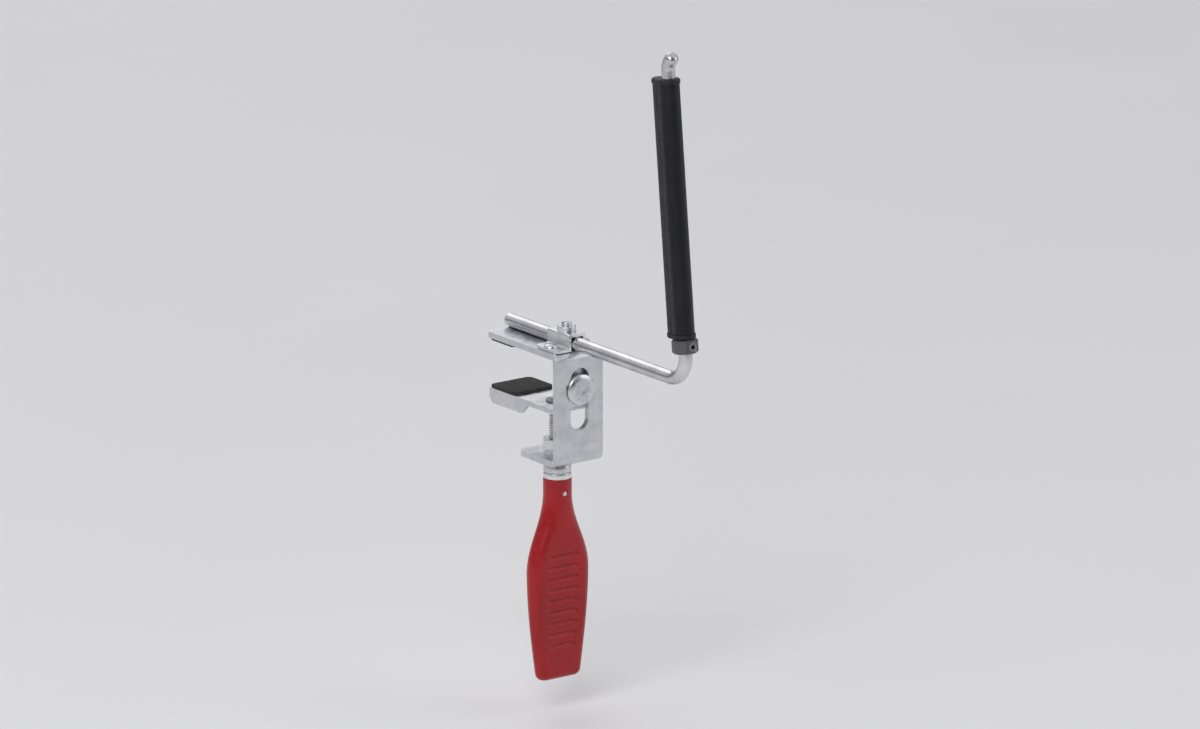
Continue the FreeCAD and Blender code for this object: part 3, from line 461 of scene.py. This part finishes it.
RIVET_FOOT = 2.9 * MM
RIVET_FOOT_END = 1.6 * MM
RIVET_FOOT_HIGH = 0.75 * MM
RIVET_FOOT_BEVEL = 0.2 * MM
RIVET_RIM = 0.15 * MM
STUD_RIVET = 4.4 * MM
DOME_STEPS = 7


def dome(radius, height):
    """The quarter outline of a domed head, from its rim to its top."""
    angles = [math.pi / 2 * i / DOME_STEPS for i in range(DOME_STEPS)]
    return [(radius * math.cos(a), height * math.sin(a)) for a in angles] + [(0.0, height)]


def saddle_rivets():
    """The saddle's two rivets: a domed head, a shank and an upset foot under the plate."""
    low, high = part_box("saddle_rivets")
    saddle_low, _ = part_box("rod_saddle")
    foot_top = saddle_low.z + SADDLE_THICK
    under = low.z - foot_top
    plate_under = under + RIVET_FOOT_HIGH
    for side, x in (("left", low.x + RIVET_HEAD), ("right", high.x - RIVET_HEAD)):
        centre = Vector((x, (low.y + high.y) / 2, foot_top))
        profile = [(0.0, under), (RIVET_FOOT_END, under), (RIVET_FOOT, plate_under - RIVET_FOOT_BEVEL),
                   (RIVET_FOOT, plate_under), (RIVET_SHANK, plate_under), (RIVET_SHANK, 0.0),
                   (RIVET_HEAD, 0.0), (RIVET_HEAD, RIVET_RIM)]
        top = [(r, h + RIVET_RIM) for r, h in dome(RIVET_HEAD, high.z - foot_top - RIVET_RIM)][1:]
        bm = lathe(profile + top, centre)
        nodes = ("saddle_rivets",) if side == "left" else ()
        new_object("saddle_rivet_" + side, bm, TURNED, "clamp", nodes)


def guide_stud():
    """The stud: a head outside the web with a centre dimple, a journal in the slot, a riveted end."""
    low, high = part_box("guide_stud")
    centre = Vector((0, low.y, (low.z + high.z) / 2))
    head = (high.z - low.z) / 2
    web_low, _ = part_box("clamp_frame")
    jaw_low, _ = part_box("sliding_jaw")
    seat = web_low.y - STUD_HEAD_GAP - low.y
    leg = jaw_low.y - low.y
    leg_in = leg + JAW_THICK
    end = high.y - low.y
    profile = [(0.0, 0.5 * MM), (1.1 * MM, 0.0), (head * 0.62, 0.0), (head * 0.84, 0.25 * MM),
               (head * 0.96, 0.75 * MM), (head, 1.3 * MM), (head, seat - 0.2 * MM), (head - 0.2 * MM, seat),
               (STUD_JOURNAL, seat), (STUD_JOURNAL, leg), (STUD_TENON, leg), (STUD_TENON, leg_in)]
    profile += [(r, h + leg_in) for r, h in dome(STUD_RIVET, end - leg_in)]
    bm = lathe(profile, centre, Vector((0, 1, 0)), MANY_SIDES)
    new_object("guide_stud_turned", bm, TURNED, "jaw", ("guide_stud",))


# Spindle

SPINDLE_BEVEL = 0.8 * MM
SHOULDER_EDGE = 0.15 * MM
NECK_BEVEL = 0.7 * MM
THREAD_START = 12 * MM
THREAD_RUNOUT = 1.0 * MM
THREAD_DEPTH = 0.72 * MM
THREAD_CREST_GAP = 0.02 * MM
THREAD_STEPS = 10
CREST_SHARE = 0.08
FLANK_SLOPE = 1.35


def thread_radius(height, angle, low, high, major):
    """The radius of a rolled thread, faded out at both ends."""
    phase = (height / SPINDLE_PITCH - angle / (2 * math.pi)) % 1.0
    tooth = min(1.0, max(0.0, FLANK_SLOPE * (abs(2 * phase - 1) - CREST_SHARE)))
    fade = min(smooth_step((height - low) / SPINDLE_PITCH), smooth_step((high - height) / SPINDLE_PITCH))
    return major - THREAD_DEPTH * (1 - tooth) * fade - THREAD_CREST_GAP


def level_ring(bm, centre, height, radius_at):
    """A level ring of vertices, whose radius is a function of the angle."""
    ring = []
    for i in range(SIDES):
        angle = 2 * math.pi * i / SIDES
        radius = radius_at(angle)
        spot = Vector((radius * math.cos(angle), radius * math.sin(angle), height))
        ring.append(bm.verts.new(centre + spot))
    return ring


def thread_rings(bm, centre, low, high, major):
    """Rings of a rolled thread between two heights."""
    count = int(math.ceil((high - low) / SPINDLE_PITCH * THREAD_STEPS))
    rings = []
    for k in range(count + 1):
        height = low + (high - low) * k / count
        rings.append(level_ring(bm, centre, height,
                                lambda angle: thread_radius(height, angle, low, high, major)))
    return rings


def plain_ring(bm, centre, radius, height):
    """A level ring of vertices of one radius."""
    return level_ring(bm, centre, height, lambda angle: radius)


def spindle():
    """The spindle with its rolled thread, shoulder, neck and clip groove."""
    low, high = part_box("spindle")
    washer_low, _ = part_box("spindle_washer")
    clip_low, clip_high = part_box("spindle_clip")
    centre = Vector(((low.x + high.x) / 2, (low.y + high.y) / 2, 0))
    major = (high.x - low.x) / 2
    bm = bmesh.new()
    shoulder = washer_low.z
    rings = [[bm.verts.new(centre + Vector((0, 0, low.z)))],
             plain_ring(bm, centre, major - SPINDLE_BEVEL, low.z),
             plain_ring(bm, centre, major, low.z + SPINDLE_BEVEL)]
    rings += thread_rings(bm, centre, low.z + THREAD_START, shoulder - THREAD_RUNOUT, major)
    for radius, height in ((major, shoulder - SPINDLE_BEVEL), (major, shoulder - SHOULDER_EDGE),
                           (major - SHOULDER_EDGE, shoulder), (SPINDLE_NECK, shoulder),
                           (SPINDLE_NECK, clip_low.z), (CLIP_SEAT, clip_low.z), (CLIP_SEAT, clip_high.z),
                           (SPINDLE_NECK, clip_high.z), (SPINDLE_NECK, high.z - NECK_BEVEL),
                           (SPINDLE_NECK - NECK_BEVEL, high.z)):
        rings.append(plain_ring(bm, centre, radius, height))
    rings.append([bm.verts.new(centre + Vector((0, 0, high.z)))])
    rings_to_solid(bm, rings, False)
    new_object("spindle_threaded", bm, TURNED, "spindle", ("spindle",))


def small_metal():
    """Nuts, washer, clip, screws, slug, collar and pin: the solids' forms with rounded edges."""
    refined("spindle_nut", 0.22 * MM, TURNED, "clamp")
    refined("lock_nut", 0.15 * MM, TURNED, "clamp")
    refined("spindle_washer", 0.18 * MM, TURNED, "spindle")
    refined("spindle_clip", 0.1 * MM, BLACK_STEEL, "spindle")
    refined("lock_screw", 0.12 * MM, TURNED, "lock")
    refined("lock_slug", 0.12 * MM, BRASS, "slug")
    refined("post_collar", 0.2 * MM, BLACK_STEEL, "collar")
    refined("collar_screw", 0.12 * MM, BLACK_STEEL, "collar")
    refined("handle_pin", 0.12 * MM, TURNED, "spindle")


BEAD_RADIUS = 1.25 * MM
BEAD_LENGTH = 6.2 * MM
BEAD_RINGS = 34
BEAD_SIDES = 14


def weld_beads():
    """Two wavy weld beads that hold the spindle nut on the flange, one at each side of it."""
    low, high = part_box("spindle_nut")
    middle = (low + high) / 2
    across_flats = (high.y - low.y) / 2
    for side, name in ((-1, "outer"), (1, "inner")):
        bm = bmesh.new()
        rings = []
        for k in range(BEAD_RINGS + 1):
            t = k / BEAD_RINGS
            size = BEAD_RADIUS * math.sin(math.pi * min(max(t, 0.03), 0.97)) ** 0.35
            size *= 1 + 0.10 * math.sin(t * 44) + 0.05 * math.sin(t * 97 + side)
            ring = []
            for i in range(BEAD_SIDES):
                a = 2 * math.pi * i / BEAD_SIDES
                ring.append(bm.verts.new((middle.x + (t - 0.5) * BEAD_LENGTH,
                                          middle.y + side * (across_flats + 0.1 * MM) + size * math.cos(a),
                                          low.z + 0.05 * MM + size * 0.85 * math.sin(a))))
            rings.append(ring)
        rings_to_solid(bm, rings, False)
        bm.faces.new(list(reversed(rings[0])))
        bm.faces.new(rings[-1])
        new_object("weld_bead_" + name, bm, WELD, "clamp", (), smooth=math.radians(70))


def handle_ferrule():
    """The ferrule at the handle's neck: a rolled bead at its lip and a pressed groove."""
    low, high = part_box("handle_collar")
    centre = Vector(((low.x + high.x) / 2, (low.y + high.y) / 2, low.z))
    outer = (high.x - low.x) / 2
    inner = outer - FERRULE_WALL
    tall = high.z - low.z
    profile = [(inner, 0.0), (outer - 0.25 * MM, 0.0), (outer, 0.25 * MM), (outer, tall * 0.30)]
    for i in range(9):
        a = math.pi * i / 8
        profile.append((outer - 0.45 * MM * math.sin(a), tall * (0.30 + 0.22 * i / 8)))
    profile += [(outer, tall * 0.56), (outer, tall - 0.45 * MM), (outer - 0.15 * MM, tall - 0.15 * MM),
                (outer - 0.5 * MM, tall), (inner, tall)]
    new_object("handle_ferrule", lathe(profile, centre, closed=True, segments=MANY_SIDES), TURNED, "spindle",
               ("handle_collar",))


# Handle: the paddle's stadium sections, with finger grooves on both faces and a moulding seam on both edges

NECK_SHARE = 0.14
THICK_SHARE = 0.20
BELLY_SHARE = 0.50
HANDLE_NECK = 14 * MM
HANDLE_WIDE = 34 * MM
HANDLE_END_WIDE = 24 * MM
HANDLE_END_THICK = 8 * MM
HANDLE_EDGE = 3 * MM
HANDLE_BORE = 4.05 * MM
HANDLE_BORE_DEPTH = 40 * MM
BORE_BEVEL = 0.3 * MM
PIN_RADIUS = 1.5 * MM
GRIP_START = 0.42
GRIP_END = 0.84
GRIP_COUNT = 9
GRIP_GROOVE = 2.6 * MM
GRIP_DEEP = 0.7 * MM
GRIP_HALF = 0.27
GRIP_SOFT = 0.9 * MM
SEAM_HIGH = 0.1 * MM
SEAM_WIDE = 0.35 * MM
TURN_POINTS = 26
FLAT_POINTS = 34
PADDLE_RINGS = 300
EDGE_RINGS = 9


def handle_width(share):
    """The paddle's width at a share of its length from the top."""
    if share <= NECK_SHARE:
        return HANDLE_NECK
    if share <= BELLY_SHARE:
        turn = math.pi * (share - NECK_SHARE) / (BELLY_SHARE - NECK_SHARE)
        return HANDLE_WIDE + (HANDLE_NECK - HANDLE_WIDE) * (1 + math.cos(turn)) / 2
    turn = math.pi / 2 * (share - BELLY_SHARE) / (1 - BELLY_SHARE)
    return HANDLE_END_WIDE + (HANDLE_WIDE - HANDLE_END_WIDE) * math.cos(turn)


def handle_thick(share, neck):
    """The paddle's thickness at a share of its length from the top."""
    turn = math.pi / 2 * max(0.0, share - THICK_SHARE) / (1 - THICK_SHARE)
    return neck - (neck - HANDLE_END_THICK) * math.sin(turn)


def groove_depth(x, down, long, width):
    """How far the finger grooves sink the handle's face at a place."""
    pitch = (GRIP_END - GRIP_START) * long / (GRIP_COUNT - 1)
    number = min(GRIP_COUNT - 1, max(0, round((down - GRIP_START * long) / pitch)))
    off = abs(down - GRIP_START * long - number * pitch) - GRIP_GROOVE / 2
    past = abs(x) - GRIP_HALF * width
    along = 1 - smooth_step((off + GRIP_SOFT) / GRIP_SOFT)
    across = 1 - smooth_step((past + GRIP_SOFT) / GRIP_SOFT)
    return GRIP_DEEP * along * across


def handle():
    """The red paddle: a skin from the bore's bottom, over the ferrule's step, to the rounded end."""
    low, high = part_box("handle")
    centre = Vector(((low.x + high.x) / 2, (low.y + high.y) / 2, 0))
    long = high.z - low.z
    neck_thick = high.y - low.y
    bm = bmesh.new()

    def section(down, shrink=0.0, grooved=True):
        """A stadium-shaped ring of vertices, with the seam on its rounded sides."""
        share = down / long
        width = handle_width(share) - 2 * shrink
        thick = handle_thick(share, neck_thick) - 2 * shrink
        reach = max(0.0, (width - thick) / 2)
        outline = []
        for side in (1, -1):
            for i in range(TURN_POINTS):
                a = math.pi * i / (TURN_POINTS - 1) - math.pi / 2
                off_seam = 1 - math.exp(-(thick / 2 * math.sin(a) / SEAM_WIDE) ** 2)
                grow = thick / 2 - SEAM_HIGH * off_seam * math.cos(a)
                outline.append((side * (reach + grow * math.cos(a)), side * grow * math.sin(a)))
            for i in range(1, FLAT_POINTS):
                x = side * reach * (1 - 2 * i / FLAT_POINTS)
                sunk = groove_depth(x, down, long, width) if grooved else 0.0
                outline.append((x, side * (thick / 2 - sunk)))
        return [bm.verts.new(centre + Vector((x, y, high.z - down))) for x, y in outline]

    def round_section(down, radius):
        """A round ring with as many vertices as a stadium-shaped one."""
        ring = section(down, grooved=False)
        for vert in ring:
            way = Vector((vert.co.x - centre.x, vert.co.y - centre.y, 0)).normalized()
            vert.co = Vector((centre.x, centre.y, vert.co.z)) + way * radius
        return ring

    core = neck_thick / 2 - FERRULE_WALL - RUNNING_GAP
    seat = FERRULE_HIGH + RUNNING_GAP
    rings = [round_section(HANDLE_BORE_DEPTH, BORE_BEVEL), round_section(HANDLE_BORE_DEPTH, HANDLE_BORE),
             round_section(BORE_BEVEL, HANDLE_BORE), round_section(0.0, HANDLE_BORE + BORE_BEVEL),
             round_section(0.0, core - BORE_BEVEL), round_section(BORE_BEVEL, core),
             round_section(seat, core), section(seat, 0.35 * MM), section(seat + 0.1 * MM, 0.12 * MM),
             section(seat + 0.35 * MM)]
    start = seat + 0.7 * MM
    last = long - HANDLE_EDGE
    for k in range(PADDLE_RINGS):
        rings.append(section(start + (last - start) * k / (PADDLE_RINGS - 1)))
    for k in range(1, EDGE_RINGS + 1):
        a = math.pi / 2 * k / EDGE_RINGS
        down = last + HANDLE_EDGE * math.sin(a)
        rings.append(section(down, HANDLE_EDGE * (1 - math.cos(a)), grooved=False))
    rings_to_solid(bm, rings, False)
    bm.faces.new(list(reversed(rings[0])))
    bm.faces.new(rings[-1])
    pin_low, pin_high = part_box("handle_pin")
    pin_middle = (pin_low + pin_high) / 2
    reach = HANDLE_WIDE / 2
    hole = lathe([(0, -reach), (PIN_RADIUS, -reach), (PIN_RADIUS, reach), (0, reach)], pin_middle,
                 Vector((0, 1, 0)), 40)
    new_object("handle_paddle", bm, RED, "spindle", ("handle",), smooth=math.radians(38),
               cutters=(hole,))


# Rod: one round bar swept along its bent line. The tip's bend starts above the collar and the post

BEND_RUN = ROD_BEND * math.tan((math.pi / 2 + ROD_LEAN) / 2)
TIP_AT = BEND_RUN + COLLAR_RISE + COLLAR_HIGH + RUNNING_GAP + 2 * END_THICK + POST_LENGTH + TIP_ROOM


def rod_line():
    """Points along the rod's centre line, each with its direction there, and the rod's radius."""
    low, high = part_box("net_rod")
    radius = (high.x - low.x) / 2
    saddle_low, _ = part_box("rod_saddle")
    level = saddle_low.z + RUNNING_GAP + radius
    corner = Vector((0, high.y - ROD_OVERHANG, level))
    up = Vector((0, math.sin(ROD_LEAN), math.cos(ROD_LEAN)))
    out = Vector((0, -1, 0))
    points = [(Vector((0, high.y, level)), out)]
    bend_start = corner - out * BEND_RUN
    for k in range(1, 13):
        points.append((points[0][0].lerp(bend_start, k / 12), out))
    centre = bend_start + Vector((0, 0, ROD_BEND))
    turn = math.pi / 2 + ROD_LEAN
    for k in range(1, 25):
        a = turn * k / 24
        spot = centre + Vector((0, -math.sin(a), -math.cos(a))) * ROD_BEND
        points.append((spot, Vector((0, -math.cos(a), math.sin(a)))))
    upright_end = corner + up * TIP_AT
    start = points[-1][0]
    for k in range(1, 31):
        points.append((start.lerp(upright_end, k / 30), up))
    side = Vector((0, -up.z, up.y))
    tip_centre = upright_end + side * TIP_BEND
    turn = TIP_ANGLE + ROD_LEAN
    for k in range(1, 17):
        a = turn * k / 16
        spot = tip_centre - side * (TIP_BEND * math.cos(a)) + up * (TIP_BEND * math.sin(a))
        points.append((spot, up * math.cos(a) + side * math.sin(a)))
    last, way = points[-1]
    for part in (0.2, 0.4, 1.0):
        points.append((last + way * (TIP_STRAIGHT * part), way))
    return points, radius


def net_rod():
    """The bent rod, with a bevelled inner end and a rounded tip."""
    points, radius = rod_line()
    bm = bmesh.new()
    rings = []

    def ring(spot, way, size):
        """A ring of vertices across the line."""
        across = Vector((1, 0, 0))
        other = way.cross(across).normalized()
        turns = [2 * math.pi * i / SIDES for i in range(SIDES)]
        return [bm.verts.new(spot + (across * math.cos(a) + other * math.sin(a)) * size) for a in turns]

    first, way = points[0]
    rings.append([bm.verts.new(first)])
    rings.append(ring(first, way, radius - ROD_CHAMFER))
    rings.append(ring(first + way * ROD_CHAMFER, way, radius))
    for spot, way in points[1:-1]:
        rings.append(ring(spot, way, radius))
    last, way = points[-1]
    round_off = radius - ROD_CHAMFER
    for k in range(9):
        a = math.pi / 2 * k / 8
        rings.append(ring(last - way * (round_off * (1 - math.sin(a))), way,
                          radius - round_off * (1 - math.cos(a))))
    rings.append([bm.verts.new(last)])
    rings_to_solid(bm, rings, False)
    new_object("net_rod_bar", bm, ROD, "rod", ("net_rod",), smooth=math.radians(35))


def post():
    """The extruded post and its moulded ends: the solids' forms with rounded edges."""
    refined("net_post", 0.2 * MM, PROFILE, "post")
    refined("foot_bush", 0.2 * MM, MOULDING, "post")
    refined("head_cap", 0.2 * MM, MOULDING, "post")


# Stage, lights and camera

FLOOR_HALF = 12.0
FLOOR_DROP = 16 * MM
LENS = 318
SENSOR_WIDTH = 36
CLIP_END = 60


def floor():
    """A wide level floor below the part, low enough for the handle's travel."""
    bm = bmesh.new()
    level = CAD_BOX[0][2] - FLOOR_DROP
    bm.faces.new([bm.verts.new((x * FLOOR_HALF, y * FLOOR_HALF, level))
                  for x, y in ((-1, -1), (1, -1), (1, 1), (-1, 1))])
    mesh = bpy.data.meshes.new("floor")
    bm.to_mesh(mesh)
    bm.free()
    obj = bpy.data.objects.new("floor", mesh)
    bpy.context.scene.collection.objects.link(obj)
    obj.data.materials.append(floor_paint())


def area_light(name, spot, target, size, power):
    """A white square lamp that points at the target."""
    lamp = bpy.data.lights.new(name, "AREA")
    lamp.energy = power
    lamp.size = size
    obj = bpy.data.objects.new(name, lamp)
    obj.location = spot
    obj.rotation_euler = (target - Vector(spot)).to_track_quat("-Z", "Y").to_euler()
    bpy.context.scene.collection.objects.link(obj)


def world():
    """A soft room: bright above, dim low down, darkest behind the camera, for contrast in the metal."""
    scene = bpy.context.scene
    scene.world = bpy.data.worlds.new("studio")
    scene.world.use_nodes = True
    nodes = scene.world.node_tree.nodes
    links = scene.world.node_tree.links

    def ramp(source, stops):
        """Greys along a source, as (place, grey) stops."""
        node = nodes.new("ShaderNodeValToRGB")
        while len(node.color_ramp.elements) < len(stops):
            node.color_ramp.elements.new(0.5)
        for mark, (spot, grey) in zip(node.color_ramp.elements, stops):
            mark.position = spot
            mark.color = (grey, grey, grey * 1.02, 1)
        links.new(source, node.inputs["Fac"])
        return node.outputs["Color"]

    way = nodes.new("ShaderNodeTexCoord").outputs["Generated"]
    split = nodes.new("ShaderNodeSeparateXYZ")
    links.new(way, split.inputs["Vector"])
    height = ramp(split.outputs["Z"], [(0.0, 0.30), (0.18, 0.42), (0.45, 0.95), (1.0, 1.0)])
    facing = nodes.new("ShaderNodeVectorMath")
    facing.operation = "DOT_PRODUCT"
    links.new(way, facing.inputs[0])
    facing.inputs[1].default_value = VIEW_BACK
    behind = ramp(facing.outputs["Value"], [(0.35, 1.0), (0.75, 0.18), (1.0, 0.12)])
    both = nodes.new("ShaderNodeMix")
    both.data_type = "RGBA"
    both.blend_type = "MULTIPLY"
    both.inputs["Factor"].default_value = 1.0
    links.new(height, both.inputs[6])
    links.new(behind, both.inputs[7])
    background = nodes["Background"]
    links.new(both.outputs[2], background.inputs["Color"])
    background.inputs["Strength"].default_value = 0.68


def camera():
    """A long lens at the photograph's angle, aimed at the part's middle."""
    scene = bpy.context.scene
    target = (Vector(CAD_BOX[0]) + Vector(CAD_BOX[1])) / 2
    data = bpy.data.cameras.new("camera")
    data.lens = LENS
    data.sensor_width = SENSOR_WIDTH
    data.clip_end = CLIP_END
    obj = bpy.data.objects.new("camera", data)
    obj.location = target + VIEW_BACK * VIEW_DISTANCE
    obj.rotation_euler = (-VIEW_BACK).to_track_quat("-Z", "Y").to_euler()
    scene.collection.objects.link(obj)
    scene.camera = obj


def studio():
    """Floor, room and three lamps."""
    floor()
    world()
    middle = (Vector(CAD_BOX[0]) + Vector(CAD_BOX[1])) / 2
    area_light("key", (-1.9, -1.3, 1.9), middle, 1.9, 46)
    area_light("fill", (1.9, -1.5, 0.8), middle, 1.6, 8)
    area_light("rim", (0.7, 2.0, 1.5), middle, 1.8, 9)
    bpy.context.scene.view_settings.view_transform = "Standard"


camera()
pressed_steel()
pads()
saddle_rivets()
guide_stud()
spindle()
small_metal()
weld_beads()
handle_ferrule()
handle()
net_rod()
post()
studio()
